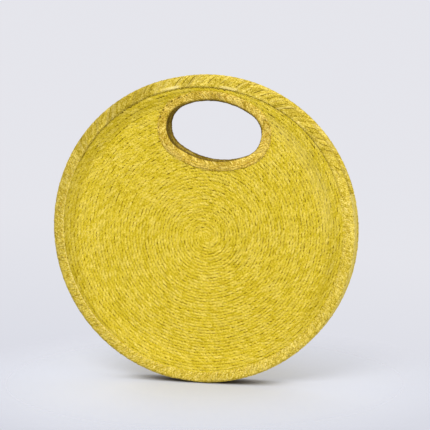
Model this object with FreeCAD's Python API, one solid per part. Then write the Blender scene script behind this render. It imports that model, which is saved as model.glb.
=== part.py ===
import FreeCAD, Part
import math
import os

# Round straw bag: two spiral-sewn palm discs joined by a side gusset round their lower edge and open
# along the top, each with an oval hand hole, and every edge bound with a folded palm braid.
# Frame: the front faces -Y, +Z is up, and the origin is at the middle of the foot, on the floor.
# Shapes are first made about the disc's own centre, and are lifted to the floor when they are written.

# Driving dimensions, in millimetres
disc_diameter = 380.0        # over the bindings
inside_depth = 18.0          # between the two panels, in their flat middle
panel_thickness = 4.0        # palm braid lapped row over row
rim_flare = 4.0              # how far a panel's edge turns outwards
flare_width = 16.0           # width of the turned band of a panel
flare_margin = 1.0           # flat panel between that band and the binding
braid_thickness = 2.0        # one layer of folded binding
binding_width = 13.5         # rim and mouth bindings, seen from the front
binding_fold = 2.0           # bevel of a binding's fold
side_wrap = 11.0             # how far a rim binding reaches round onto the gusset
gusset_thickness = 3.0
hole_width = 119.0
hole_height = 73.0
hole_end_radius = 28.0       # rounding of the oval's two ends
hole_binding_width = 12.0
bridge_panel = 5.0           # bare panel between the bindings over the hand hole
flex_margin = 5.5            # bare panel between the hole's binding and the line where the mouth flexes
foot_flattening = 1.0        # how far the soft rim is pressed flat where it stands

# Sewing
stitch_length = 6.0
stitch_pitch = 18.0
stitch_width = 1.2
stitch_height = 0.7
stitch_inset = 2.0           # from a binding's edge to its row of stitches
stitch_lift = 0.2            # room under a stitch, so that a straight one clears a bent face

# Fits
sewn_gap = 0.2               # between layers that are sewn together
flex_gap = 0.85              # between the pieces above and below the flex line

# Worked-out sizes, from the disc's centre: radii, heights, and depths out from the mid plane
disc_radius = disc_diameter / 2
centre_height = disc_radius - foot_flattening
binding_layer = braid_thickness + sewn_gap
binding_edge = disc_radius - binding_width
flare_end = binding_edge - flare_margin
flare_start = flare_end - flare_width
flare_slope = math.atan(rim_flare / flare_width)
middle_face = inside_depth / 2
rim_inner_face = middle_face + rim_flare
rim_outer_face = rim_inner_face + panel_thickness
bag_half_depth = rim_outer_face + binding_layer
mouth_inner_depth = rim_inner_face - binding_layer
lining_radius = disc_radius - braid_thickness
mouth_panel_radius = disc_radius - binding_layer
gusset_outer_radius = disc_radius - binding_layer
gusset_inner_radius = gusset_outer_radius - gusset_thickness
rim_panel_radius = gusset_inner_radius - sewn_gap
hole_rise = binding_edge - bridge_panel - hole_binding_width - hole_height / 2
flex_height = hole_rise - hole_height / 2 - hole_binding_width - flex_margin
stitch_radius = binding_edge + stitch_inset
reach = disc_diameter

ORIGIN = FreeCAD.Vector(0, 0, 0)
X_AXIS = FreeCAD.Vector(1, 0, 0)
Y_AXIS = FreeCAD.Vector(0, 1, 0)
Z_AXIS = FreeCAD.Vector(0, 0, 1)


# Sections turned about the disc's axis

def turned(corners):
    """A solid turned from a closed section, given as (radius, depth out from the mid plane) corners."""
    points = [FreeCAD.Vector(radius, -depth, 0) for radius, depth in corners]
    section = Part.Face(Part.makePolygon(points + points[:1]))
    solid = section.revolve(ORIGIN, Y_AXIS, 360)
    if solid.Volume < 0:
        solid.reverse()
    return solid


def flare_shift(offset):
    """How far the corners of the flare move inwards on a face offset from the panel's inner face."""
    return offset * math.tan(flare_slope / 2)


def dish_corners(offset, edge_radius):
    """Section of a face of the dished panel, from the axis to the edge."""
    shift = flare_shift(offset)
    return [
        (0, middle_face + offset),
        (flare_start - shift, middle_face + offset),
        (flare_end - shift, rim_inner_face + offset),
        (edge_radius, rim_inner_face + offset),
    ]


def dish(inner_offset, outer_offset, edge_radius):
    """A dished disc between two offsets from the panel's inner face."""
    return turned(dish_corners(inner_offset, edge_radius) + dish_corners(outer_offset, edge_radius)[::-1])


def dish_face(radius, offset):
    """Depth and slope of a face of the dished panel at a distance from the disc's axis."""
    along_flare = radius + flare_shift(offset) - flare_start
    if along_flare <= 0:
        return middle_face + offset, 0.0
    if along_flare >= flare_width:
        return rim_inner_face + offset, 0.0
    return middle_face + offset + along_flare * math.tan(flare_slope), flare_slope


# Cutting shapes

def oval_wire(growth):
    """The hand hole's outline in the mid plane, grown by some width all round: four arcs that run smoothly."""
    end_centre = hole_width / 2 - hole_end_radius
    step = hole_height / 2 - hole_end_radius
    side_centre = (end_centre ** 2 - step ** 2) / (2 * step)
    join = math.atan2(end_centre, side_centre)
    end_radius = hole_end_radius + growth
    half_width = hole_width / 2 + growth
    half_height = hole_height / 2 + growth
    join_x = end_centre + end_radius * math.sin(join)
    join_z = end_radius * math.cos(join)
    outline = [
        (-join_x, join_z), (0, half_height), (join_x, join_z), (half_width, 0),
        (join_x, -join_z), (0, -half_height), (-join_x, -join_z), (-half_width, 0),
    ]
    points = [FreeCAD.Vector(x, 0, hole_rise + z) for x, z in outline]
    points.append(points[0])
    return Part.Wire([Part.Arc(*points[first:first + 3]).toShape() for first in range(0, len(outline), 2)])


def oval_prism(growth):
    """A prism through the whole bag on the grown outline of the hand hole."""
    face = Part.Face(oval_wire(growth))
    face.translate(Y_AXIS * (-reach / 2))
    return face.extrude(Y_AXIS * reach)


def all_above(height):
    return Part.makeBox(reach, reach, reach, FreeCAD.Vector(-reach / 2, -reach / 2, height))


def all_below(height):
    return Part.makeBox(reach, reach, reach, FreeCAD.Vector(-reach / 2, -reach / 2, height - reach))


# Panels

def upper_panel():
    """The part of a panel that flexes, with its hand hole."""
    whole = dish(0, panel_thickness, mouth_panel_radius)
    return whole.common(all_above(flex_height)).cut(oval_prism(binding_layer))


def lower_panel():
    """The part of a panel that the gusset holds."""
    return dish(0, panel_thickness, rim_panel_radius).cut(all_above(flex_height - flex_gap))


# Gusset and bindings

def side_gusset():
    hoop = turned([
        (gusset_inner_radius, -rim_outer_face),
        (gusset_outer_radius, -rim_outer_face),
        (gusset_outer_radius, rim_outer_face),
        (gusset_inner_radius, rim_outer_face),
    ])
    return hoop.cut(all_above(flex_height - flex_gap))


def mouth_binding():
    """Braid folded over a panel's mouth edge: a channel with a bevelled back."""
    channel = turned([
        (binding_edge, bag_half_depth),
        (disc_radius - binding_fold, bag_half_depth),
        (disc_radius, bag_half_depth - binding_fold),
        (disc_radius, mouth_inner_depth + binding_fold),
        (disc_radius - binding_fold, mouth_inner_depth),
        (binding_edge, mouth_inner_depth),
        (binding_edge, rim_inner_face - sewn_gap),
        (lining_radius, rim_inner_face - sewn_gap),
        (lining_radius, rim_outer_face + sewn_gap),
        (binding_edge, rim_outer_face + sewn_gap),
    ])
    return channel.common(all_above(flex_height))


def rim_binding():
    """Braid folded over the corner where a panel meets the gusset, flattened where the bag stands."""
    angle = turned([
        (binding_edge, bag_half_depth),
        (disc_radius - binding_fold, bag_half_depth),
        (disc_radius, bag_half_depth - binding_fold),
        (disc_radius, bag_half_depth - side_wrap),
        (lining_radius, bag_half_depth - side_wrap),
        (lining_radius, rim_outer_face + sewn_gap),
        (binding_edge, rim_outer_face + sewn_gap),
    ])
    return angle.cut(all_above(flex_height - flex_gap)).cut(all_below(-centre_height))


def hole_binding():
    """Braid folded over the edge of a hand hole: a dished oval channel."""
    outside = dish(-binding_layer, panel_thickness + binding_layer, mouth_panel_radius)
    collar = outside.common(oval_prism(hole_binding_width)).cut(oval_prism(0))
    slot = dish(-sewn_gap, panel_thickness + sewn_gap, mouth_panel_radius)
    return collar.cut(slot.cut(oval_prism(braid_thickness)))


# Stitches

def stitch(place, along, outwards):
    """One straight stitch, lying on a face at a place, along a seam."""
    across = outwards.cross(along)
    start = -stitch_length / 2
    section = [
        FreeCAD.Vector(start, -stitch_width / 2, stitch_lift),
        FreeCAD.Vector(start, stitch_width / 2, stitch_lift),
        FreeCAD.Vector(start, 0, stitch_lift + stitch_height),
    ]
    bar = Part.Face(Part.makePolygon(section + section[:1])).extrude(X_AXIS * stitch_length)
    matrix = FreeCAD.Matrix(
        along.x, across.x, outwards.x, place.x,
        along.y, across.y, outwards.y, place.y,
        along.z, across.z, outwards.z, place.z,
        0, 0, 0, 1,
    )
    bar.Placement = FreeCAD.Placement(matrix)
    return bar


def arc_seam(start_angle, end_angle):
    """Stitches along a binding's inner edge, between two angles from the top, in radians."""
    count = int((end_angle - start_angle) * stitch_radius / stitch_pitch)
    bars = []
    for index in range(count):
        angle = start_angle + (end_angle - start_angle) * (index + 0.5) / count
        side = math.sin(angle)
        rise = math.cos(angle)
        place = FreeCAD.Vector(stitch_radius * side, -bag_half_depth, stitch_radius * rise)
        bars.append(stitch(place, FreeCAD.Vector(rise, 0, -side), -Y_AXIS))
    return Part.makeCompound(bars)


def hole_face(point):
    """A point of the mid plane moved out to the face of a hole's binding, and that face's outward normal."""
    radius = math.hypot(point.x, point.z)
    depth, slope = dish_face(radius, panel_thickness + binding_layer)
    lean = math.sin(slope) / radius
    place = FreeCAD.Vector(point.x, -depth, point.z)
    return place, FreeCAD.Vector(-lean * point.x, -math.cos(slope), -lean * point.z)


def hole_seam():
    """Stitches round a hand hole, near the outer edge of its binding, each with both ends on its face."""
    row = oval_wire(hole_binding_width - stitch_inset)
    count = int(row.Length / stitch_pitch)
    points = row.discretize(Number=2 * count + 1)
    bars = []
    for index in range(0, 2 * count, 2):
        half = (points[index + 1] - points[index - 1]).normalize() * (stitch_length / 2)
        start, start_normal = hole_face(points[index] - half)
        end, end_normal = hole_face(points[index] + half)
        along = (end - start).normalize()
        outwards = start_normal + end_normal
        outwards = (outwards - along * along.dot(outwards)).normalize()
        bars.append(stitch((start + end) * 0.5, along, outwards))
    return Part.makeCompound(bars)


# The whole bag

def front_pieces():
    mouth_end = math.acos((flex_height + stitch_length) / stitch_radius)
    rim_start = math.acos((flex_height - flex_gap - stitch_length) / stitch_radius)
    return {
        "panel_upper": upper_panel(),
        "panel_lower": lower_panel(),
        "mouth_binding": mouth_binding(),
        "rim_binding": rim_binding(),
        "handle_binding": hole_binding(),
        "mouth_stitches": arc_seam(-mouth_end, mouth_end),
        "rim_stitches": arc_seam(rim_start, 2 * math.pi - rim_start),
        "handle_stitches": hole_seam(),
    }


def write(name, shape, turn):
    """Writes a shape, turned about the vertical axis by some degrees and lifted to the floor."""
    placed = shape.copy()
    placed.rotate(ORIGIN, Z_AXIS, turn)
    placed.translate(Z_AXIS * centre_height)
    placed.exportStep("parts/" + name + ".step")
    print(name, "solids", len(placed.Solids), "volume", round(placed.Volume, 1), "valid", placed.isValid())


os.makedirs("parts", exist_ok=True)
for piece, shape in front_pieces().items():
    write("front_" + piece, shape, 0)
    write("back_" + piece, shape, 180)
write("side_gusset", side_gusset(), 0)
print("flex line", round(flex_height + centre_height, 3), "hole middle", round(hole_rise + centre_height, 3))
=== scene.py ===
import math

import bpy
import bmesh
import numpy as np
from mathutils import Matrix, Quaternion, Vector


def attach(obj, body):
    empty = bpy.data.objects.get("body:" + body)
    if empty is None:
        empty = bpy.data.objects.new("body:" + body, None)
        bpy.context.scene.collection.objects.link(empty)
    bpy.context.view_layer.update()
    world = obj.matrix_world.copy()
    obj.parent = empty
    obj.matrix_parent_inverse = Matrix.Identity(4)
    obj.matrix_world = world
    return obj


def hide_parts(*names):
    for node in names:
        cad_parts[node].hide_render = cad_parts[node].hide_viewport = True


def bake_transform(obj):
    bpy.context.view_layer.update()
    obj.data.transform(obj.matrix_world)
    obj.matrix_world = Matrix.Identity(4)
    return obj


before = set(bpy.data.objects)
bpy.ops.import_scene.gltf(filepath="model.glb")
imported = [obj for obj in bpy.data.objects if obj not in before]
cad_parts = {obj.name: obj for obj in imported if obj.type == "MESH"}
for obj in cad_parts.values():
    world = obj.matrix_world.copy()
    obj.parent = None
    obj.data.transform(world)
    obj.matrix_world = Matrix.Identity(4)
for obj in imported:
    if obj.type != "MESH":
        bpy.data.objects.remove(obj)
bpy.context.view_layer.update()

# Sizes in millimetres in the part's frame: X across, Y from front to back, Z up from the floor.
# Depths are measured out from the mid plane between the two faces.
MM = 0.001
centre_height = 189.0
disc_radius = 190.0
flat_depth = 12.4         # outer face of a panel in its flat middle
rim_rise = 5.4            # how far a panel's edge turns outwards
panel_thickness = 4.0
flare_start = 153.0       # radii between which the panel turns outwards
flare_end = 174.0

# Plaited rows of the panels
row_pitch = 3.8
row_count = 48
plait_length = 6.6        # length of one strand along its row
strand_slant = -1.0       # how many strands a strand leans by, across its row
strand_turn = 0.15        # place across the row where the strands turn back
plain_rows = 2.0          # rows at the middle that have no dark seam
seam_free = 0.7           # share of a row's width that lies clear of its dark seam
centre_drop = 8.0         # how far the middle of the spiral lies below and beside the disc's centre
centre_aside = 6.0

# Bindings and gusset
section_step = 0.6        # between points across a binding
braid_width = 30.0        # length across a binding that the plait map counts as 1
band_edge = 176.5         # inner edge of the mouth and rim bindings
band_face = 19.2
mouth_back = 10.8         # depth of the mouth binding's inner face
mouth_strand = 8.7        # length of one strand of the mouth binding along the edge
mouth_taper = 3.0         # how much narrower the mouth binding is at its right end
wrap_pitch = 2.7          # width of one strand wrapped over the rim
rim_fold = 5.0
rim_wrap_end = 8.2        # depth at which the rim binding ends on the gusset
gusset_outside = 187.8
gusset_inside = 184.8
gusset_half_width = 16.8
gusset_rows = 9
gusset_swell = 1.9
foot_clearance = 0.2      # height of the flattened rim over the floor
# Painted light: the side wrap and the gusset are drawn paler than the face.
side_painted_light = 0.25        # the side is paler than the face
flex_height = 258.0

# Hand hole and its binding
hole_middle = 312.0
hole_half_width = 59.5
hole_half_height = 36.5
hole_end_radius = 28.0
ring_width = 12.0
ring_strand = 3.7
braid_thickness = 2.2

# Sewing
stitch_step = {"mouth": 6.2, "rim": 5.6, "handle": 7.1}      # from one thread to the next


# Small helpers

def smooth(low, high, value):
    share = np.clip((value - low) / (high - low), 0.0, 1.0)
    return share * share * (3.0 - 2.0 * share)


def bump(phase):
    """A rounded strand over each whole number of phase, 1 along its middle and 0 at its edges."""
    share = phase - np.floor(phase)
    return 1.0 - (2.0 * share - 1.0) ** 2


def lean(phase):
    """A strand that rises quickly from under its neighbour and falls slowly."""
    share = phase - np.floor(phase)
    return smooth(0.0, 0.22, share) * (1.0 - 0.75 * share)


def gap(phase, width):
    """1 in the gap at each whole number of phase, fading to 0 within a share of the strand."""
    share = phase - np.floor(phase)
    return 1.0 - smooth(0.0, width, np.minimum(share, 1.0 - share))


def chance(number, seed):
    """A steady random value from 0 to 1 for each whole number."""
    value = np.sin(np.floor(number) * 12.9898 + seed * 78.233) * 43758.5453
    return value - np.floor(value)


def waver(value, seed, wavelength):
    """Slow random rise and fall, from about -1 to 1."""
    total = 0.0
    for k in range(5):
        turn = 6.283 * float(chance(np.array(k + 1.0), seed))
        total = total + np.sin(value * 6.283 / wavelength * (0.6 + 0.37 * k) + turn) / (1.0 + 0.35 * k)
    return total / 2.4


def face_depth(radius):
    return flat_depth + rim_rise * smooth(flare_start, flare_end, radius)


def join_and_weld(name, parts, material):
    """parts is a list of (points, faces, corner_uv, tone), with one tone for each point and one uv for each
    corner. A tone below 0 darkens the straw towards the colour of a gap, for real gaps and for painted shade,
    and one above 0 makes it paler, for pale strands and for painted light."""
    points, faces, uv, tone = [], [], [], []
    start = 0
    for p, f, c, t in parts:
        points.append(np.asarray(p, float).reshape(-1, 3))
        faces.extend([[v + start for v in face] for face in f])
        uv.append(np.asarray(c, np.float32).reshape(-1, 2))
        tone.append(np.asarray(t, np.float32).ravel())
        start += len(points[-1])
    mesh = bpy.data.meshes.new(name)
    mesh.from_pydata((np.concatenate(points) * MM).tolist(), [], faces)
    mesh.uv_layers.new(name="plait").data.foreach_set("uv", np.concatenate(uv).ravel())
    mesh.attributes.new("tone", "FLOAT", "POINT").data.foreach_set("value", np.concatenate(tone))
    mesh.polygons.foreach_set("use_smooth", [True] * len(mesh.polygons))
    mesh.materials.append(material)
    work = bmesh.new()
    work.from_mesh(mesh)
    bmesh.ops.remove_doubles(work, verts=work.verts, dist=1e-6)
    loose = [v for v in work.verts if not v.link_faces]
    bmesh.ops.delete(work, geom=loose, context="VERTS")
    work.to_mesh(mesh)
    work.free()
    made = bpy.data.objects.new(name, mesh)
    bpy.context.scene.collection.objects.link(made)
    return made


# Oval of the hand hole: four arcs, walked by length

cap_radius = ((hole_half_width - hole_end_radius) ** 2 + hole_half_height ** 2 - hole_end_radius ** 2) \
    / (2.0 * (hole_half_height - hole_end_radius))
cap_offset = cap_radius - hole_half_height
end_centre = hole_half_width - hole_end_radius
end_angle = math.atan2(cap_offset, end_centre)
cap_angle = math.pi - 2.0 * end_angle
oval_length = 2.0 * (hole_end_radius * 2.0 * end_angle + cap_radius * cap_angle)


def oval_at(length):
    """Point and outward direction on the hole's edge for each length, anticlockwise from the right end."""
    length = np.mod(length + hole_end_radius * end_angle, oval_length)
    arcs = [(end_centre, 0.0, hole_end_radius, -end_angle, 2 * end_angle),
            (0.0, -cap_offset, cap_radius, end_angle, cap_angle),
            (-end_centre, 0.0, hole_end_radius, math.pi - end_angle, 2 * end_angle),
            (0.0, cap_offset, cap_radius, math.pi + end_angle, cap_angle)]
    point = np.zeros((len(length), 2))
    outward = np.zeros((len(length), 2))
    start = 0.0
    for x, z, radius, first, sweep in arcs:
        inside = (length >= start) & (length <= start + radius * sweep)
        angle = first + (length - start) / radius
        ray = np.stack([np.cos(angle), np.sin(angle)], axis=1)
        point[inside] = (np.array([x, z]) + radius * ray)[inside]
        outward[inside] = ray[inside]
        start += radius * sweep
    return point, outward


def distance_from_hole(x, z):
    """Distance outside the hole's edge, negative inside it. Good enough near the edge."""
    across = np.abs(x)
    up = np.abs(z - hole_middle)
    angle = np.arctan2(up, across - end_centre)
    at_end = np.hypot(across - end_centre, up) - hole_end_radius
    at_cap = np.hypot(across, up + cap_offset) - cap_radius
    return np.where(angle < end_angle, at_end, at_cap)


# Straw materials

def node(tree, kind, **values):
    made = tree.nodes.new(kind)
    for key, value in values.items():
        if isinstance(value, (int, float, tuple)) and key in made.inputs:
            made.inputs[key].default_value = value
        else:
            setattr(made, key, value)
    return made


def maths(tree, operation, first, second=None):
    made = tree.nodes.new("ShaderNodeMath")
    made.operation = operation
    for slot, value in ((0, first), (1, second)):
        if isinstance(value, (int, float)):
            made.inputs[slot].default_value = value
        elif value is not None:
            tree.links.new(value, made.inputs[slot])
    return made.outputs[0]


def ramp(tree, value, stops):
    made = tree.nodes.new("ShaderNodeValToRGB")
    while len(made.color_ramp.elements) < len(stops):
        made.color_ramp.elements.new(0.5)
    for element, (place, colour) in zip(made.color_ramp.elements, stops):
        element.position = place
        element.color = (*colour, 1.0)
    tree.links.new(value, made.inputs[0])
    return made.outputs[0]


def rise(tree, value, low, high, top=1.0):
    """0 below low and top above high."""
    return ramp(tree, value, [(low, (0, 0, 0)), (high, (top, top, top))])


def mixed(tree, share, first, second):
    made = tree.nodes.new("ShaderNodeMix")
    made.data_type = "RGBA"
    for socket, value in ((0, share), (6, first), (7, second)):
        if isinstance(value, (int, float)):
            made.inputs[socket].default_value = value
        elif isinstance(value, tuple):
            made.inputs[socket].default_value = (*value, 1.0)
        else:
            tree.links.new(value, made.inputs[socket])
    return made.outputs[2]


def random_by(tree, number, shift):
    """A steady random value from 0 to 1 for each whole number."""
    made = node(tree, "ShaderNodeTexWhiteNoise", noise_dimensions="1D")
    tree.links.new(maths(tree, "ADD", number, shift), made.inputs["W"])
    return made.outputs[0]


def row_dashes(tree, strand, across, share):
    """Dark dashes in the seam along the outer edge of each row, of uneven length and strength."""
    step = maths(tree, "MULTIPLY", strand, 1.8)
    cell = maths(tree, "FLOOR", step)
    reach = maths(tree, "SUBTRACT", random_by(tree, cell, 0.37), maths(tree, "FRACT", step))
    filled = rise(tree, reach, 0.0, 0.1)
    seam = rise(tree, across, 0.72, 0.82)
    strength = maths(tree, "MULTIPLY", maths(tree, "ADD", random_by(tree, cell, 0.53), 0.25), share)
    return maths(tree, "MULTIPLY", maths(tree, "MULTIPLY", filled, seam), strength)


def straw_material(name, dark, middle, light, pale, slant, shares):
    """Strands laid side by side along the plait map: U counts strands, V runs across the braid from 0 to 1.
    shares says how strongly each kind of unevenness shows."""
    material = bpy.data.materials.new(name)
    material.use_nodes = True
    tree = material.node_tree
    shader = tree.nodes["Principled BSDF"]
    shader.inputs["Roughness"].default_value = 0.65
    shader.inputs["Specular IOR Level"].default_value = 0.05
    plait = node(tree, "ShaderNodeUVMap", uv_map="plait")
    parts = node(tree, "ShaderNodeSeparateXYZ")
    tree.links.new(plait.outputs[0], parts.inputs[0])
    along, across = parts.outputs[0], parts.outputs[1]

    fold = maths(tree, "ABSOLUTE", maths(tree, "SUBTRACT", across, strand_turn))
    strand = maths(tree, "ADD", along, maths(tree, "MULTIPLY", fold, slant))
    number = maths(tree, "FLOOR", strand)
    place = maths(tree, "FRACT", strand)
    pick = random_by(tree, number, 0.0)

    streaks = node(tree, "ShaderNodeTexNoise", noise_dimensions="2D", Scale=1.0, Detail=3.0)
    stretched = node(tree, "ShaderNodeCombineXYZ")
    tree.links.new(maths(tree, "MULTIPLY", strand, 1.3), stretched.inputs[0])
    tree.links.new(maths(tree, "MULTIPLY", across, shares["fibres"]), stretched.inputs[1])
    tree.links.new(stretched.outputs[0], streaks.inputs["Vector"])

    spot = node(tree, "ShaderNodeTexCoord")
    mottle = node(tree, "ShaderNodeTexNoise", Scale=90.0, Detail=2.0, Roughness=0.6)
    grain = node(tree, "ShaderNodeTexNoise", Scale=680.0, Detail=1.0, Roughness=0.6)
    rust = node(tree, "ShaderNodeTexNoise", Scale=300.0, Detail=2.0, Roughness=0.6)
    fleck = node(tree, "ShaderNodeTexNoise", Scale=430.0, Detail=1.0, Roughness=0.5)
    for cloud in (mottle, grain, rust, fleck):
        tree.links.new(spot.outputs["Object"], cloud.inputs["Vector"])

    tone = maths(tree, "MULTIPLY", maths(tree, "SUBTRACT", pick, 0.5), shares["strand"])
    for source, share in ((streaks, "streak"), (grain, "grain"), (mottle, "mottle")):
        centred = maths(tree, "SUBTRACT", source.outputs[0], 0.5)
        tone = maths(tree, "ADD", tone, maths(tree, "MULTIPLY", centred, shares[share]))
    tone = maths(tree, "ADD", tone, 0.5)
    colour = ramp(tree, tone, [(0.05, dark), (0.5, middle), (0.95, light)])

    edge = maths(tree, "MULTIPLY", maths(tree, "SUBTRACT", 1.0, place), place)
    crack = ramp(tree, edge, [(0.0, (1, 1, 1)), (0.055, (0, 0, 0))])
    crack = maths(tree, "MULTIPLY", crack, rise(tree, pick, 0.2, 0.8, shares["gap"]))
    colour = mixed(tree, crack, colour, gap_and_shade_colour)
    bleached = rise(tree, random_by(tree, number, 0.71), 0.74, 0.84, shares["bleach"])
    colour = mixed(tree, bleached, colour, pale)
    rusty = rise(tree, rust.outputs[0], 0.56, 0.68, shares["rust"])
    colour = mixed(tree, rusty, colour, rust_colour)
    flecked = rise(tree, fleck.outputs[0], 0.62, 0.70, shares["fleck"])
    colour = mixed(tree, flecked, colour, gap_and_shade_colour)
    if shares["dash"] > 0.0:
        colour = mixed(tree, row_dashes(tree, strand, across, shares["dash"]), colour, dash_colour)

    # The tone attribute: above 0 towards pale, for pale strands and painted light; below 0 towards the gap
    # colour, for gaps and painted shade.
    tint = node(tree, "ShaderNodeAttribute", attribute_name="tone").outputs["Fac"]
    colour = mixed(tree, tint, colour, pale)
    colour = mixed(tree, maths(tree, "MULTIPLY", tint, -1.0), colour, gap_and_shade_colour)
    tree.links.new(colour, shader.inputs["Base Color"])

    height = maths(tree, "ADD", maths(tree, "MULTIPLY", streaks.outputs[0], 0.5),
                   maths(tree, "MINIMUM", maths(tree, "MULTIPLY", edge, 6.0), 0.8))
    lift = node(tree, "ShaderNodeBump", Strength=0.5, Distance=0.0004)
    tree.links.new(height, lift.inputs["Height"])
    tree.links.new(lift.outputs[0], shader.inputs["Normal"])
    return material


# Colour of the gaps between strands, of dark flecks, and of painted shade.
gap_and_shade_colour = (0.11, 0.066, 0.001)
dash_colour = (0.14, 0.092, 0.002)
rust_colour = (0.47, 0.265, 0.035)
panel_straw = straw_material(
    "panel_straw", (0.34, 0.25, 0.001), (0.57, 0.428, 0.021), (0.75, 0.595, 0.11), (0.74, 0.61, 0.21),
    strand_slant,
    {"fibres": 5.0, "strand": 0.30, "streak": 0.45, "grain": 1.32, "mottle": 0.14, "gap": 0.85, "dash": 1.0,
     "bleach": 0.10, "rust": 0.18, "fleck": 0.15})
mouth_braid = straw_material(
    "mouth_braid", (0.28, 0.20, 0.003), (0.57, 0.425, 0.038), (0.75, 0.60, 0.14), (0.78, 0.66, 0.29), 0.0,
    {"fibres": 9.0, "strand": 0.30, "streak": 0.7, "grain": 1.8, "mottle": 0.50, "gap": 0.15, "dash": 0.0,
     "bleach": 0.15, "rust": 0.34, "fleck": 0.35})
rim_braid = straw_material(
    "rim_braid", (0.27, 0.19, 0.002), (0.58, 0.43, 0.038), (0.77, 0.62, 0.15), (0.78, 0.66, 0.29), 0.0,
    {"fibres": 9.0, "strand": 0.38, "streak": 0.6, "grain": 1.8, "mottle": 0.20, "gap": 0.35, "dash": 0.0,
     "bleach": 0.12, "rust": 0.34, "fleck": 0.50})
handle_braid = straw_material(
    "handle_braid", (0.29, 0.185, 0.006), (0.60, 0.418, 0.048), (0.80, 0.61, 0.15), (0.76, 0.62, 0.22), 0.0,
    {"fibres": 9.0, "strand": 0.55, "streak": 0.7, "grain": 2.2, "mottle": 0.35, "gap": 0.45, "dash": 0.0,
     "bleach": 0.2, "rust": 0.65, "fleck": 0.45})


def plain_material(name, colour, roughness):
    material = bpy.data.materials.new(name)
    material.use_nodes = True
    tree = material.node_tree
    shader = tree.nodes["Principled BSDF"]
    shader.inputs["Roughness"].default_value = roughness
    spot = node(tree, "ShaderNodeTexCoord")
    grain = node(tree, "ShaderNodeTexNoise", Scale=300.0, Detail=2.0)
    tree.links.new(spot.outputs["Object"], grain.inputs["Vector"])
    darker = tuple(0.7 * c for c in colour)
    tree.links.new(ramp(tree, grain.outputs[0], [(0.3, darker), (0.7, colour)]), shader.inputs["Base Color"])
    return material


sewing_thread = plain_material("sewing_thread", (0.57, 0.43, 0.05), 0.6)


# Spiral panels: one flat plait wound outwards, row beside row

across_places = [0.0, 0.25, 0.70]      # shares of a row's width
row_profile = [-0.40, 0.32, 0.26]      # how far the row stands out there
zones = [(0, 16, 240), (16, 32, 480), (32, row_count, 960)]      # first row, last row, steps to a turn
spiral_edge = 186.0


def off_centre(radius, angle):
    """The spiral starts a little below and beside the disc's centre and evens out towards the rim."""
    share = 1.0 - (radius / spiral_edge) ** 2
    x = radius * np.cos(angle) + centre_aside * share
    z = centre_height + radius * np.sin(angle) - centre_drop * share
    return x, z


def row_point(turn, across):
    """A point of the outer face for a turn number and a place across the plait, with the front at +depth."""
    length = math.pi * row_pitch * turn ** 2
    phase = length / plait_length + 0.22 * waver(length, 5, 47.0)
    near_middle = np.minimum(turn / 3.0, 1.0)
    tooth = 0.40 * (bump(phase + 0.5) - 0.6) * near_middle
    wander = 0.45 * waver(length, 3, 140.0) * near_middle
    radius = row_pitch * (turn + across) + wander + tooth * (across < 0.1)
    angle = 2.0 * math.pi * turn
    x, z = off_centre(radius, angle)
    profile = np.interp(across, across_places, row_profile) * (0.3 + 0.7 * near_middle)
    strands = 0.40 * (bump(phase + strand_slant * np.abs(across - strand_turn)) - 0.6) * (across > 0.05)
    uneven = 0.35 * (chance(phase, 7) - 0.5) * (across > 0.05)
    depth = face_depth(np.hypot(x, z - centre_height)) + profile + strands + uneven
    depth = depth + 0.4 * waver(x + 0.3 * z, 11, 130.0) + 0.3 * waver(z - 0.2 * x, 12, 110.0)
    return np.stack([x, depth, z], axis=-1), phase


def panel_tone(points):
    """Painted shade where the plait turns up to the rim, but not at the upper right, where painted light
    lightens it a little instead, and painted shade in the creases beside the bindings."""
    x, z = points[:, 0], points[:, 2]
    radius = np.hypot(x, z - centre_height)
    right_share = x / np.maximum(radius, 1.0)
    up_share = (z - centre_height) / np.maximum(radius, 1.0)
    low = smooth(0.3, 0.95, -up_share)
    left = smooth(0.3, 0.8, -right_share)
    upper_right = smooth(0.70, 0.92, 0.77 * right_share + 0.64 * up_share)
    # Painted shade on the slope up to the rim, weaker along the bottom, which faces up.
    valley = 0.16 * smooth(155.0, 166.0, radius) * (1.0 - smooth(171.0, 176.0, radius)) * (1.0 - 0.75 * low)
    valley = valley * (1.0 - upper_right)
    # Painted light at the upper right, where the slope to the rim begins.
    painted_light_and_unevenness = 0.12 * upper_right * smooth(143.0, 152.0, radius) * (1.0 - smooth(160.0, 168.0, radius))
    # Painted shade in the crease beside the rim binding on the left.
    beside_rim = 0.35 * left * smooth(171.5, 173.0, radius) * (1.0 - smooth(175.0, 176.5, radius))
    valley = np.maximum(valley * (1.0 + 0.4 * left), beside_rim)
    off_ring = distance_from_hole(x, z) - ring_width
    # Painted shadow in the crease below the hand-hole binding, broken into patches.
    under_ring = smooth(hole_half_height * 0.5, hole_half_height * 0.9, hole_middle - z)
    broken = smooth(0.0, 0.6, waver(x + 0.6 * z, 71, 11.0))
    ring_crease = 0.6 * under_ring * broken * (1.0 - smooth(0.3, 1.8, off_ring))
    return painted_light_and_unevenness - np.maximum(valley, ring_crease)


def on_map(turn_and_phase, share):
    """Place on the plait map. The first rows keep clear of the dark seam."""
    turn, phase = turn_and_phase
    return phase, share * (seam_free if turn < plain_rows else 1.0)


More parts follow.
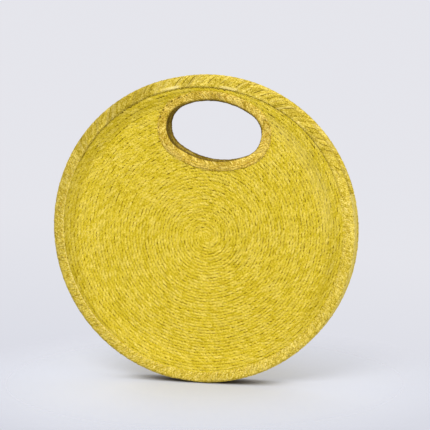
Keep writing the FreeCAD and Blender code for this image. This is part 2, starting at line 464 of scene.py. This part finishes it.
def spiral_face():
    """Outer face as one welded strip. Each zone has twice as many steps to a turn as the zone inside it."""
    points, faces, uv = [], [], []
    start = 0
    lanes = len(across_places)
    for first, last, count in zones:
        steps = (last - first) * count
        turn = first + np.arange(steps + count + 1) / count
        columns = []
        for across in across_places:
            place, phase = row_point(turn, np.full_like(turn, across))
            columns.append(place)
        points.append(np.stack(columns, axis=1).reshape(-1, 3))
        halfway, _ = row_point(last + (np.arange(count) + 0.5) / count, np.zeros(count))
        points.append(halfway)
        first_half = start + len(points[-2])
        for j in range(steps):
            here, there = (turn[j], phase[j]), (turn[j + 1], phase[j + 1])
            for lane in range(lanes - 1):
                low = start + j * lanes + lane
                share, next_share = across_places[lane], across_places[lane + 1]
                faces.append([low, low + lanes, low + lanes + 1, low + 1])
                uv.extend([on_map(here, share), on_map(there, share),
                           on_map(there, next_share), on_map(here, next_share)])
            low = start + j * lanes + lanes - 1
            ahead = low + lanes
            high = start + (j + count) * lanes
            high_ahead = high + lanes
            share = across_places[-1]
            place = [on_map(here, share), on_map(there, share), on_map(there, 1.0), on_map(here, 1.0)]
            on_seam = j - (steps - count)
            if on_seam < 0:
                faces.append([low, ahead, high_ahead, high])
                uv.extend(place)
            elif last < row_count:
                middle = first_half + on_seam
                between = ((phase[j] + phase[j + 1]) / 2.0, 1.0)
                faces.extend([[low, ahead, middle], [ahead, high_ahead, middle], [low, middle, high]])
                uv.extend([place[0], place[1], between])
                uv.extend([place[1], place[2], between])
                uv.extend([place[0], between, place[3]])
        start = first_half + count
    middle, _ = row_point(np.array([0.0]), np.array([0.0]))
    points.append(middle)
    for j in range(zones[0][2]):
        faces.append([start, (j + 1) * lanes, j * lanes])
        uv.extend([(0.0, 0.0), (0.3, 0.0), (0.0, 0.3)])
    points = np.concatenate(points)
    return points, faces, uv, panel_tone(points)


def inner_face():
    """The inside of the panel, with the same rows but less relief."""
    count = 120
    radii = []
    for row in range(1, row_count):
        radii.extend([row * row_pitch, row * row_pitch + 0.6])
    angle = 2.0 * math.pi * np.arange(count) / count
    points, faces, uv = [], [], []
    for k, radius in enumerate(radii):
        x, z = off_centre(radius, angle)
        depth = face_depth(np.hypot(x, z - centre_height)) - panel_thickness + 0.5 * (k % 2)
        points.append(np.stack([x, depth, z], axis=-1))
    for k in range(len(radii) - 1):
        for j in range(count):
            ahead = (j + 1) % count
            faces.append([k * count + j, (k + 1) * count + j, (k + 1) * count + ahead, k * count + ahead])
            low = radii[k] * 2.0 * math.pi * j / count / plait_length
            high = radii[k] * 2.0 * math.pi * (j + 1) / count / plait_length
            uv.extend([(low, k % 2), (low, (k + 1) % 2), (high, (k + 1) % 2), (high, k % 2)])
    points = np.concatenate(points)
    return points, faces, uv, np.zeros(len(points))


def without_hole(points, faces, uv, tone):
    """Leaves out the faces under the middle of the hand-hole binding and inside the hole."""
    clear = distance_from_hole(points[:, 0], points[:, 2]) > 3.0
    kept_faces, kept_uv = [], []
    corner = 0
    for face in faces:
        if all(clear[v] for v in face):
            kept_faces.append(face)
            kept_uv.extend(uv[corner:corner + len(face)])
        corner += len(face)
    return points, kept_faces, kept_uv, tone


def turned(part, side):
    """side -1 puts the piece on the front, +1 turns it half round the upright axis to the back."""
    points, faces, uv, tone = part
    points = np.array(points, float)
    mirrored = 1 if side < 0 else 0
    points[:, mirrored] = -points[:, mirrored]
    flipped, corners = [], []
    place = 0
    for face in faces:
        size = len(face)
        flipped.append(list(reversed(face)))
        corners.extend(list(reversed(uv[place:place + size])))
        place += size
    return points, flipped, corners, tone


# Bands: a section carried along an edge, with strands raised on it

def band(points, along, across, strand_height, tone, close_along=False):
    """points[i, j] along and across the band, section closed; strand_height lifts it along its own normal.
    The section runs so that this normal points out of the band. along has one more row than points, to end
    the last step on."""
    forward = np.gradient(points, axis=0)
    if close_along:
        forward = np.roll(points, -1, axis=0) - np.roll(points, 1, axis=0)
    side = np.roll(points, -1, axis=1) - np.roll(points, 1, axis=1)
    normal = np.cross(forward, side)
    normal /= np.linalg.norm(normal, axis=2, keepdims=True) + 1e-9
    points = points + normal * strand_height[..., None]
    rows, columns = points.shape[:2]
    faces, uv = [], []
    last = rows if close_along else rows - 1
    for i in range(last):
        ahead = (i + 1) % rows
        for j in range(columns):
            beside = (j + 1) % columns
            faces.append([i * columns + j, ahead * columns + j,
                          ahead * columns + beside, i * columns + beside])
            uv.extend([(along[i, j], across[j]), (along[i + 1, j], across[j]),
                       (along[i + 1, beside], across[beside]), (along[i, beside], across[beside])])
    if not close_along:
        faces.append([j for j in range(columns)])
        uv.extend([(along[0, j], across[j]) for j in range(columns)])
        faces.append([(rows - 1) * columns + j for j in reversed(range(columns))])
        uv.extend([(along[-1, j], across[j]) for j in reversed(range(columns))])
    return points.reshape(-1, 3), faces, uv, tone.ravel()


def walk(corners, step, count=None):
    """Evenly spaced points along a line of corners, about a step apart or of a set count."""
    corners = np.asarray(corners, float)
    lengths = np.concatenate([[0.0], np.cumsum(np.linalg.norm(np.diff(corners, axis=0), axis=1))])
    count = count or int(round(lengths[-1] / step))
    places = np.linspace(0.0, lengths[-1], count)
    return np.stack([np.interp(places, lengths, corners[:, k]) for k in range(2)], axis=1), places


def arc_corners(centre, radius, first, last, count):
    angle = np.radians(np.linspace(first, last, count))
    return [(centre[0] + radius * math.cos(a), centre[1] + radius * math.sin(a)) for a in angle]


def ring_points(section, angle):
    """section is (radius, depth) pairs, carried round the disc's centre."""
    radius = section[None, :, 0]
    depth = np.broadcast_to(section[None, :, 1], (len(angle), len(section)))
    x = radius * np.cos(angle)[:, None]
    z = centre_height + radius * np.sin(angle)[:, None]
    return np.stack([x, depth, z], axis=-1)


fold_radius = (band_face - mouth_back) / 2.0
mouth_start = math.asin((flex_height - centre_height) / disc_radius)


def narrowing(angle):
    """How much further out the mouth binding's inner edge lies, as it was laid narrower on the right."""
    return mouth_taper * (1.0 - smooth(0.7, 1.5, angle))


def wrapped(length, across, seed):
    """Fine strands wrapped steeply over an edge, with a little unevenness."""
    return (length + 0.55 * across[None, :]) / wrap_pitch + 0.25 * waver(length, seed, 23.0)


def mouth_band():
    """A wide plait folded over the top edge: slanting strands outside, a smooth lip along the inner edge, and
    a crease under the lip with painted shade. Towards its ends it turns into the finer wrapping of the rim."""
    fold_centre = (disc_radius - fold_radius, (band_face + mouth_back) / 2.0)
    # The narrow groove under the lip, near the section's start, is coloured with the painted crease shade.
    corners = [(179.0, 16.9), (band_edge - 1.0, 18.0), (band_edge - 0.8, 18.6), (band_edge + 0.1, 18.6),
               (band_edge + 0.2, 18.9), (band_edge + 1.0, 19.5), (band_edge + 3.5, band_face + 0.4)]
    corners += arc_corners(fold_centre, fold_radius, 75, -90, 15)
    corners += [(band_edge + 0.8, mouth_back), (band_edge, mouth_back + 0.7), (band_edge + 0.4, 12.4),
                (179.5, 13.0)]
    section, across = walk(corners, section_step)
    crease_start, lip_start, lip_end, fold_top = 4.3, 5.2, 9.0, 22.0
    angle = np.linspace(mouth_start, math.pi - mouth_start, 1000)
    length = disc_radius * angle[:, None]
    from_end = np.minimum(angle - mouth_start, math.pi - mouth_start - angle)[:, None] * disc_radius
    coarse = smooth(8.0, 45.0, from_end)
    along = (length + 1.0 * across[None, :]) / mouth_strand + 0.2 * waver(length, 21, 60.0)
    fine = wrapped(length, across, 26)
    shown = smooth(lip_start - 0.6, lip_start + 0.6, across) * smooth(0.0, 3.0, across[-1] - across)
    lip = 1.0 - smooth(lip_end - 0.4, lip_end + 0.4, across)
    slanted = 0.55 * lean(along) * (1.0 - lip) + lip * (0.3 + 0.2 * bump(length / 13.0))
    slanted = slanted + 0.12 * bump(3.0 * along)
    height = (coarse * slanted + (1.0 - coarse) * 0.5 * bump(fine) - 0.25) * shown

    # Painted shade in the crease under the lip: in dashes between the stitches, unbroken along the top,
    # fainter to the left and towards the ends.
    in_crease = smooth(crease_start - 0.4, crease_start + 0.2, across)
    in_crease = in_crease * (1.0 - smooth(lip_start - 0.2, lip_start + 0.3, across))
    left = smooth(1.75, 2.2, angle)[:, None]
    right = 1.0 - smooth(0.95, 1.4, angle)[:, None]
    dash = smooth(0.3, 0.7, bump(length / stitch_step["mouth"] + 0.25 * waver(length, 22, 40.0)))
    at_top = smooth(1.42, 1.50, angle) * (1.0 - smooth(1.80, 1.90, angle))
    dark = 0.8 * np.maximum(dash, at_top[:, None]) * in_crease
    dark = dark * smooth(10.0, 90.0, from_end) * (1.0 - 0.5 * left)
    outer_half = smooth(lip_end, lip_end + 2.5, across)
    slash_share = 0.1 + 0.9 * smooth(0.25, 0.75, chance(along + 0.5, 23))
    slash = 1.4 * gap(along, 0.10) * outer_half * slash_share * coarse
    slash = slash * (1.0 - 0.75 * left) * (1.0 - 0.2 * right)
    # Darker overall and unevenly, more so towards the left, fading towards the ends and stopping past the
    # fold.
    darkening = 0.12 + 0.23 * left + 0.05 * right + 0.2 * np.maximum(waver(length + 2.0 * across, 24, 37.0), 0.0)
    darkening = darkening * ((1.0 - left) * smooth(5.0, 80.0, from_end) + left * smooth(-10.0, 25.0, from_end))
    darkening = darkening * (1.0 - smooth(fold_top - 2.0, fold_top + 2.0, across))
    bleach = 0.8 * lip * shown * smooth(-0.3, 0.8, waver(length, 25, 61.0)) * coarse
    bleach = bleach * (1.0 - 0.6 * right - 0.4 * left)
    bleach = bleach + 0.1 * smooth(0.5, 0.9, chance(along, 27)) * coarse * (1.0 - lip)
    tone = np.maximum(bleach - darkening, -0.45) - np.maximum(dark, slash * shown)
    numbers = np.where(coarse > 0.5, 2.0 * along, fine)
    points = ring_points(section, angle)
    shift = narrowing(angle)[:, None] * (1.0 - smooth(lip_end, lip_end + 6.0, across))
    points[..., 0] += shift * np.cos(angle)[:, None]
    points[..., 2] += shift * np.sin(angle)[:, None]
    extra = np.concatenate([numbers, numbers[-1:]])
    return band(points, extra, across / braid_width, height, np.clip(tone, -1.0, 1.0))


def rim_band():
    """Fine strands wrapped over the edge from the last row of the face round to the side."""
    corners = [(180.0, 16.8), (band_edge + 0.2, 17.4), (band_edge - 0.2, 18.0), (band_edge + 0.6, 18.6),
               (band_edge + 3.0, band_face)]
    corners += arc_corners((disc_radius - rim_fold, band_face - rim_fold), rim_fold, 90, 0, 9)
    corners += [(disc_radius, rim_wrap_end + 0.8), (disc_radius - 0.6, rim_wrap_end),
                (gusset_outside + 0.2, rim_wrap_end + 0.1), (gusset_outside + 0.2, 14.0)]
    section, across = walk(corners, section_step)
    angle = np.linspace(math.pi - mouth_start, 2.0 * math.pi + mouth_start, 1700)
    length = disc_radius * angle[:, None]
    shown = smooth(3.2, 4.4, across) * smooth(0.0, 2.5, across[-1] - 7.0 - across)
    fine = wrapped(length, across, 31)
    lap = (across[None, :] + 0.8 * waver(length, 36, 19.0)) / 4.2
    along = fine + 17.43 * np.floor(lap)
    uneven = 0.14 * (chance(along, 37) - 0.5)
    height = 0.30 * bump(along) + 0.22 * bump(lap) + uneven - 0.3 + 0.22 * waver(length, 39, 9.0)
    left = 1.0 - smooth(3.9, 4.5, angle)[:, None]
    open_gap = (0.5 + 0.3 * left) * gap(along, 0.16) * smooth(0.45, 0.95, chance(along + 0.5, 34))
    at_lap = (0.25 + 0.2 * left) * gap(lap, 0.14) * smooth(-0.2, 0.8, waver(length, 38, 11.0))
    bead = smooth(3.4, 4.2, across) * (1.0 - smooth(5.0, 6.0, across))
    # Slow random unevenness, darker along the left outer wrap and lighter along the bead at its inner edge.
    painted_light_and_unevenness = 0.06 * waver(length, 35, 160.0) - 0.13 * left * (1.0 - bead) + 0.3 * left * bead
    # Painted light: the side is drawn paler than the face.
    painted_light_and_unevenness = painted_light_and_unevenness + side_painted_light * smooth(17.0, 21.0, across)
    # Darker at the start, beside the mouth binding.
    painted_light_and_unevenness = painted_light_and_unevenness - 0.08 * (1.0 - smooth(2.8, 3.2, angle)[:, None])
    tone = (painted_light_and_unevenness - np.maximum(open_gap, at_lap)) * shown
    points = ring_points(section, angle)
    points[..., 2] = np.maximum(points[..., 2], foot_clearance)
    extra = np.concatenate([along, along[-1:]])
    return band(points, extra, across / braid_width, height * shown, np.clip(tone, -1.0, 1.0))


def handle_section(corner):
    """Across the folded plait: distance from the hole's edge, and depth from the panel's middle."""
    half = panel_thickness / 2.0 + braid_thickness
    corners = [(ring_width - 1.0, 1.2), (ring_width + 0.4, 1.9), (ring_width, half - 1.5),
               (ring_width - 1.4, half - 0.5), (ring_width - 3.6, half)]
    corners += arc_corners((corner, half - corner), corner, 90, 180, 9)
    corners += arc_corners((corner, corner - half), corner, 180, 270, 9)
    corners += [(ring_width - 1.4, -half), (ring_width - 0.4, 0.8 - half),
                (ring_width - 1.0, braid_thickness - half)]
    return walk(corners, section_step, 66)


def handle_band():
    """A plait folded round the edge of the hole, rounder along the top. Along the bottom its strands run with
    the edge."""
    middle = flat_depth - panel_thickness / 2.0
    length = np.linspace(0.0, oval_length, 760, endpoint=False)
    edge, outward = oval_at(length)
    sharp, across = handle_section(1.5)
    rounded = handle_section(3.8)[0]
    at_top = smooth(-0.1, 0.6, outward[:, 1])[:, None, None]
    section = sharp[None] * (1.0 - at_top) + rounded[None] * at_top
    flat = edge[:, None, :] + outward[:, None, :] * section[..., :1]
    x, z = flat[..., 0], flat[..., 1] + hole_middle
    depth = middle + section[..., 1] + face_depth(np.hypot(x, z - centre_height)) - flat_depth
    points = np.stack([x, depth, z], axis=-1)

    strand = oval_length / round(oval_length / ring_strand)
    turn_line = 6.8
    turn = length * 2.0 * math.pi / oval_length
    chevrons = (length[:, None] + 0.9 * np.abs(across - turn_line)[None, :]) / strand
    chevrons = chevrons + (0.28 * np.sin(7.0 * turn) + 0.22 * np.sin(13.0 * turn + 1.0))[:, None]
    drift = np.sin(5.0 * turn) + 0.6 * np.sin(11.0 * turn + 2.0) + 0.4 * np.sin(23.0 * turn)
    lengthwise = (across[None, :] - 2.6 + 0.9 * drift[:, None]) / 3.3
    at_bottom = smooth(0.45, 0.75, -outward[:, 1])[:, None]
    front = (1.0 - smooth(9.0, 11.0, across))[None, :]
    beside = at_bottom * front
    shown = smooth(1.0, 2.6, across) * smooth(0.0, 2.5, across[-1] - across)
    uneven = 0.35 * (chance(chevrons, 63) - 0.5)
    plaited = 0.65 * lean(chevrons) - 0.3 + uneven
    laid = 0.7 * bump(lengthwise) - 0.35 + 0.6 * uneven
    height = plaited * (1.0 - beside) + laid * beside
    numbers = np.where(beside > 0.5, np.floor(lengthwise) * 3.0 + length[:, None] / 11.0, chevrons)
    closing = np.where(beside[:1] > 0.5, numbers[:1], numbers[:1] + oval_length / strand)

    cracks = gap(chevrons, 0.12) * (1.0 - beside) * smooth(0.4, 0.9, chance(chevrons + 0.5, 62))
    open_share = (0.3 + 0.3 * np.sin(9.0 * turn + 0.5))[:, None]
    cracks = np.maximum(cracks, gap(lengthwise, 0.2) * beside * open_share)
    at_edge = 1.0 - smooth(0.5, 1.7, np.abs(across - 4.6))
    upper_left = smooth(0.60, 0.85, 0.5 * outward[:, 1] - 0.8 * outward[:, 0])
    needle = gap(length / stitch_step["handle"] + 0.25 * np.sin(9.0 * turn), 0.20 + 0.12 * upper_left)
    needle = needle * (0.1 + 0.9 * upper_left)
    brown = 0.14 * np.maximum(np.sin(4.0 * turn + 0.7) + 0.7 * np.sin(9.0 * turn), 0.0)[:, None]
    tone = -np.maximum(np.maximum(0.65 * cracks, needle[:, None] * at_edge[None, :]), brown) * shown
    # Painted shade on the hole's inner wall, wider along the top where the rounded edge turns downwards, and
    # on the inside face near the hole.
    wall = 1.0 - smooth(0.2, 1.0 + 3.0 * at_top[..., 0], section[..., 0])
    inside = smooth(0.5, 2.0, -section[..., 1]) * (1.0 - smooth(3.0, 7.0, section[..., 0]))
    tone = np.maximum(tone - np.maximum(0.9 * wall, 0.55 * inside), -1.0)
    extra = np.concatenate([numbers, closing])
    back_to_front = slice(None, None, -1)      # the section was walked towards the hole
    return band(points[:, back_to_front], extra[:, back_to_front], across[back_to_front] / braid_width,
                (height * shown)[:, back_to_front], tone[:, back_to_front], close_along=True)


def gusset_band():
    """Rows of plait round the side, swelling between the two rim bindings but not where the bag stands."""
    corners = [(gusset_outside, gusset_half_width), (gusset_outside, -gusset_half_width),
               (gusset_inside, -gusset_half_width), (gusset_inside, gusset_half_width)]
    row_width = 2.0 * gusset_half_width / gusset_rows
    section, across = walk(corners, row_width / 4.0)
    angle = np.linspace(math.pi - mouth_start, 2.0 * math.pi + mouth_start, 700)
    length = gusset_outside * angle[:, None]
    row = across / row_width
    along = length / plait_length + 17.37 * np.floor(row)[None, :]
    towards_seam = np.abs(2.0 * (row - np.floor(row)) - 1.0)
    height = 0.55 * bump(row)[None, :] + 0.3 * bump(along)
    outer = across < 2 * gusset_half_width
    between_wraps = 1.0 - smooth(rim_wrap_end - 1.8, rim_wrap_end - 0.2, np.abs(section[:, 1]))
    swell = gusset_swell * between_wraps * outer
    off_foot = smooth(0.08, 0.14, np.abs(angle - 1.5 * math.pi))[:, None]
    points = ring_points(section, angle)
    extra = np.concatenate([along, along[-1:]])
    # Painted light: the outer face of the side is drawn paler.
    tone = np.broadcast_to(side_painted_light * outer, height.shape)
    return band(points, extra, towards_seam, height - 0.6 + swell[None, :] * off_foot, tone)


# Stitches: short threads lying across or along an edge

def stitch_parts(centres, along, outward, length, width, height):
    """One rounded thread for each centre. along and outward are unit directions."""
    around, stations = 6, 5
    side = np.cross(along, outward)
    points, faces = [], []
    start = 0
    for c, a, o, s in zip(centres, along, outward, side):
        for k in range(stations):
            share = k / (stations - 1)
            thick = math.sqrt(max(0.06, 1.0 - (2.0 * share - 1.0) ** 2))
            for m in range(around):
                turn = 2.0 * math.pi * m / around
                points.append(c + a * length * (share - 0.5) + s * width / 2 * thick * math.cos(turn)
                              + o * height * thick * math.sin(turn))
        for k in range(stations - 1):
            for m in range(around):
                n = (m + 1) % around
                faces.append([start + k * around + m, start + (k + 1) * around + m,
                              start + (k + 1) * around + n, start + k * around + n])
        faces.append([start + m for m in range(around)])
        faces.append([start + (stations - 1) * around + m for m in reversed(range(around))])
        start += stations * around
    uv = [(0.5, 0.5)] * sum(len(f) for f in faces)
    return np.array(points), faces, uv, np.zeros(len(points))


def arc_stitches(radius, depth, first, last, pitch, lean_angle, length, width, height, seed):
    """Threads leaning by some degrees along an arc between two angles, each a little out of place."""
    count = int(radius * (last - first) / pitch)
    places = np.arange(count) + 0.5
    angle = first + (places + 0.25 * (chance(places, seed) - 0.5)) * pitch / radius
    radius = radius + narrowing(angle) * (angle < math.pi - mouth_start)
    x, z = radius * np.cos(angle), centre_height + radius * np.sin(angle)
    centres = np.stack([x, np.full(count, depth), z], axis=1)
    tilt = angle + math.pi / 2 + math.radians(lean_angle) + 0.3 * (chance(places, seed + 1) - 0.5)
    along = np.stack([np.cos(tilt), np.zeros(count), np.sin(tilt)], axis=1)
    outward = np.tile([0.0, 1.0, 0.0], (count, 1))
    return stitch_parts(centres, along, outward, length, width, height)


def mouth_sewing():
    return arc_stitches(176.4, 18.5, mouth_start + 0.01, math.pi - mouth_start - 0.01,
                        stitch_step["mouth"], 60.0, 3.0, 1.0, 0.6, 41)


def rim_sewing():
    return arc_stitches(177.0, 18.4, math.pi - mouth_start + 0.01, 2 * math.pi + mouth_start - 0.01,
                        stitch_step["rim"], 55.0, 3.0, 1.0, 0.5, 51)


def handle_sewing():
    count = int(oval_length / stitch_step["handle"])
    places = np.arange(count) + 0.5
    edge, outward2 = oval_at(places * oval_length / count)
    middle = edge + outward2 * 10.6
    x, z = middle[:, 0], middle[:, 1] + hole_middle
    depth = face_depth(np.hypot(x, z - centre_height)) + braid_thickness - 0.2
    centres = np.stack([x, depth, z], axis=1)
    side = np.stack([-outward2[:, 1], outward2[:, 0]], axis=1)
    mix = outward2 * 0.75 + side * 0.65
    along = np.stack([mix[:, 0], np.zeros(count), mix[:, 1]], axis=1)
    along /= np.linalg.norm(along, axis=1, keepdims=True)
    outward = np.tile([0.0, 1.0, 0.0], (count, 1))
    return stitch_parts(centres, along, outward, 3.6, 1.0, 0.7)


# Put the pieces on the front and the back

def flexes(piece):
    """Bakes the piece's placement into its mesh. It is sewn to the panel, but is not made to bend with it
    below the hand hole.
    """
    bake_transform(piece)


outer_rows = without_hole(*spiral_face())
inner_rows = without_hole(*inner_face())
for label, side in (("front", -1), ("back", 1)):
    flap = label + "_flap"
    panel = join_and_weld(label + "_panel", [turned(outer_rows, side), turned(inner_rows, side)], panel_straw)
    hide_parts(label + "_panel_lower", label + "_panel_upper")
    flexes(panel)

    mouth = join_and_weld(label + "_mouth_plait", [turned(mouth_band(), side)], mouth_braid)
    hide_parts(label + "_mouth_binding")
    flexes(mouth)

    rim = join_and_weld(label + "_rim_plait", [turned(rim_band(), side)], rim_braid)
    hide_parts(label + "_rim_binding")
    flexes(rim)

    ring = join_and_weld(label + "_handle_plait", [turned(handle_band(), side)], handle_braid)
    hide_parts(label + "_handle_binding")
    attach(ring, flap)

    for kind, shape in (("mouth", mouth_sewing), ("rim", rim_sewing), ("handle", handle_sewing)):
        threads = join_and_weld(label + "_" + kind + "_sewing", [turned(shape(), side)], sewing_thread)
        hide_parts(label + "_" + kind + "_stitches")
        if kind == "handle":
            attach(threads, flap)
        else:
            flexes(threads)

gusset = join_and_weld("gusset_plait", [gusset_band()], panel_straw)
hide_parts("side_gusset")
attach(gusset, "bag_body")


# Floor, light and camera

yaw, lift, roll = math.radians(12.0), math.radians(8.0), math.radians(6.7)
view_back = Vector((math.sin(yaw) * math.cos(lift), -math.cos(yaw) * math.cos(lift), math.sin(lift)))
view_turn = (-view_back).to_track_quat("-Z", "Y") @ Quaternion((0, 0, 1), roll)


def add_floor():
    """A pale floor that fades out a little way from the bag, so no edge or horizon shows. The bag is rolled a
    little way round on its rim, so the floor touches the disc beside its foot. A painted contact shadow
    darkens it close behind the front face, where the bag covers it."""
    up = view_turn @ Vector((0.0, math.cos(lift), math.sin(lift)))
    reach = disc_radius * math.hypot(up.x, up.z) + band_face * abs(up.y)
    mesh = bpy.data.meshes.new("floor")
    count, size = 96, 2.5
    turns = [2 * math.pi * k / count for k in range(count)]
    ring = [(size * math.cos(turn), size * math.sin(turn), 0.0) for turn in turns]
    mesh.from_pydata(ring, [], [list(range(count))])
    floor = bpy.data.objects.new("floor", mesh)
    floor.rotation_mode = "QUATERNION"
    floor.rotation_quaternion = up.to_track_quat("Z", "Y")
    floor.location = Vector((0, 0, centre_height * MM)) - up * (reach * MM)
    bpy.context.scene.collection.objects.link(floor)
    material = bpy.data.materials.new("pale_floor")
    material.use_nodes = True
    tree = material.node_tree
    shader = tree.nodes["Principled BSDF"]
    shader.inputs["Roughness"].default_value = 0.8
    shader.inputs["Specular IOR Level"].default_value = 0.1
    # Painted contact shadow: the floor's colour darkens where ambient occlusion finds the bag close by,
    # behind the front face.
    covered = node(tree, "ShaderNodeAmbientOcclusion", samples=16, Distance=0.05)
    place = node(tree, "ShaderNodeSeparateXYZ")
    tree.links.new(node(tree, "ShaderNodeNewGeometry").outputs["Position"], place.inputs[0])
    behind = rise(tree, maths(tree, "ADD", place.outputs[1], 0.5), 0.480, 0.490)
    hidden = rise(tree, maths(tree, "SUBTRACT", 1.0, covered.outputs["AO"]), 0.4, 0.9)
    shade = maths(tree, "MULTIPLY", behind, hidden)
    colour = mixed(tree, shade, (0.557, 0.571, 0.626), (0.12, 0.10, 0.07))
    tree.links.new(colour, shader.inputs["Base Color"])
    spot = node(tree, "ShaderNodeTexCoord")
    away = node(tree, "ShaderNodeVectorMath", operation="LENGTH")
    tree.links.new(spot.outputs["Object"], away.inputs[0])
    distance = maths(tree, "MULTIPLY", away.outputs["Value"], 0.5)
    fade = ramp(tree, distance, [(0.05, (1, 1, 1)), (0.165, (0, 0, 0))])
    tree.links.new(fade, shader.inputs["Alpha"])
    mesh.materials.append(material)


def add_light(name, place, size, power):
    """A round white lamp turned towards the middle of the bag."""
    lamp = bpy.data.lights.new(name, "AREA")
    lamp.shape = "DISK"
    lamp.size = size
    lamp.energy = power
    made = bpy.data.objects.new(name, lamp)
    made.location = place
    made.rotation_mode = "QUATERNION"
    made.rotation_quaternion = (Vector((0, 0, 0.19)) - Vector(place)).to_track_quat("-Z", "Y")
    bpy.context.scene.collection.objects.link(made)


def add_world():
    """Pale behind the bag, bright overhead and dimmer to the sides."""
    world = bpy.data.worlds.new("studio")
    world.use_nodes = True
    tree = world.node_tree
    spot = node(tree, "ShaderNodeTexCoord")
    parts = node(tree, "ShaderNodeSeparateXYZ")
    tree.links.new(spot.outputs["Generated"], parts.inputs[0])
    sky = ramp(tree, parts.outputs[1], [(0.35, (0.38, 0.39, 0.42)), (0.85, (0.785, 0.787, 0.836))])
    under = rise(tree, maths(tree, "MULTIPLY", parts.outputs[2], -1.0), 0.15, 0.24)
    sky = mixed(tree, under, sky, (0.69, 0.703, 0.775))
    over = rise(tree, parts.outputs[2], 0.25, 0.9)
    sky = mixed(tree, over, sky, (1.25, 1.25, 1.25))
    tree.links.new(sky, tree.nodes["Background"].inputs["Color"])
    tree.nodes["Background"].inputs["Strength"].default_value = 1.0
    bpy.context.scene.world = world


def add_camera():
    data = bpy.data.cameras.new("camera")
    data.sensor_width = 36.0
    data.lens = 162.4
    camera = bpy.data.objects.new("camera", data)
    bpy.context.scene.collection.objects.link(camera)
    aim = Vector((0, 0, centre_height * MM)) + view_turn @ Vector((0.0128, 0.0170, 0.0))
    camera.rotation_mode = "QUATERNION"
    camera.rotation_quaternion = view_turn
    camera.location = aim + view_back * 2.4
    bpy.context.scene.camera = camera


add_floor()
add_light("key", (-0.52, -2.25, 1.86), 1.5, 54.0)
add_light("fill", (1.0, -2.4, 0.6), 1.6, 12.0)
add_light("side", (1.9, -0.9, 0.6), 1.2, 12.0)
add_light("edge", (2.2, 0.05, 0.22), 0.8, 5.0)
add_light("back", (-1.3, 2.3, 0.75), 1.6, 24.0)
add_world()
add_camera()
bpy.context.scene.view_settings.view_transform = "Standard"
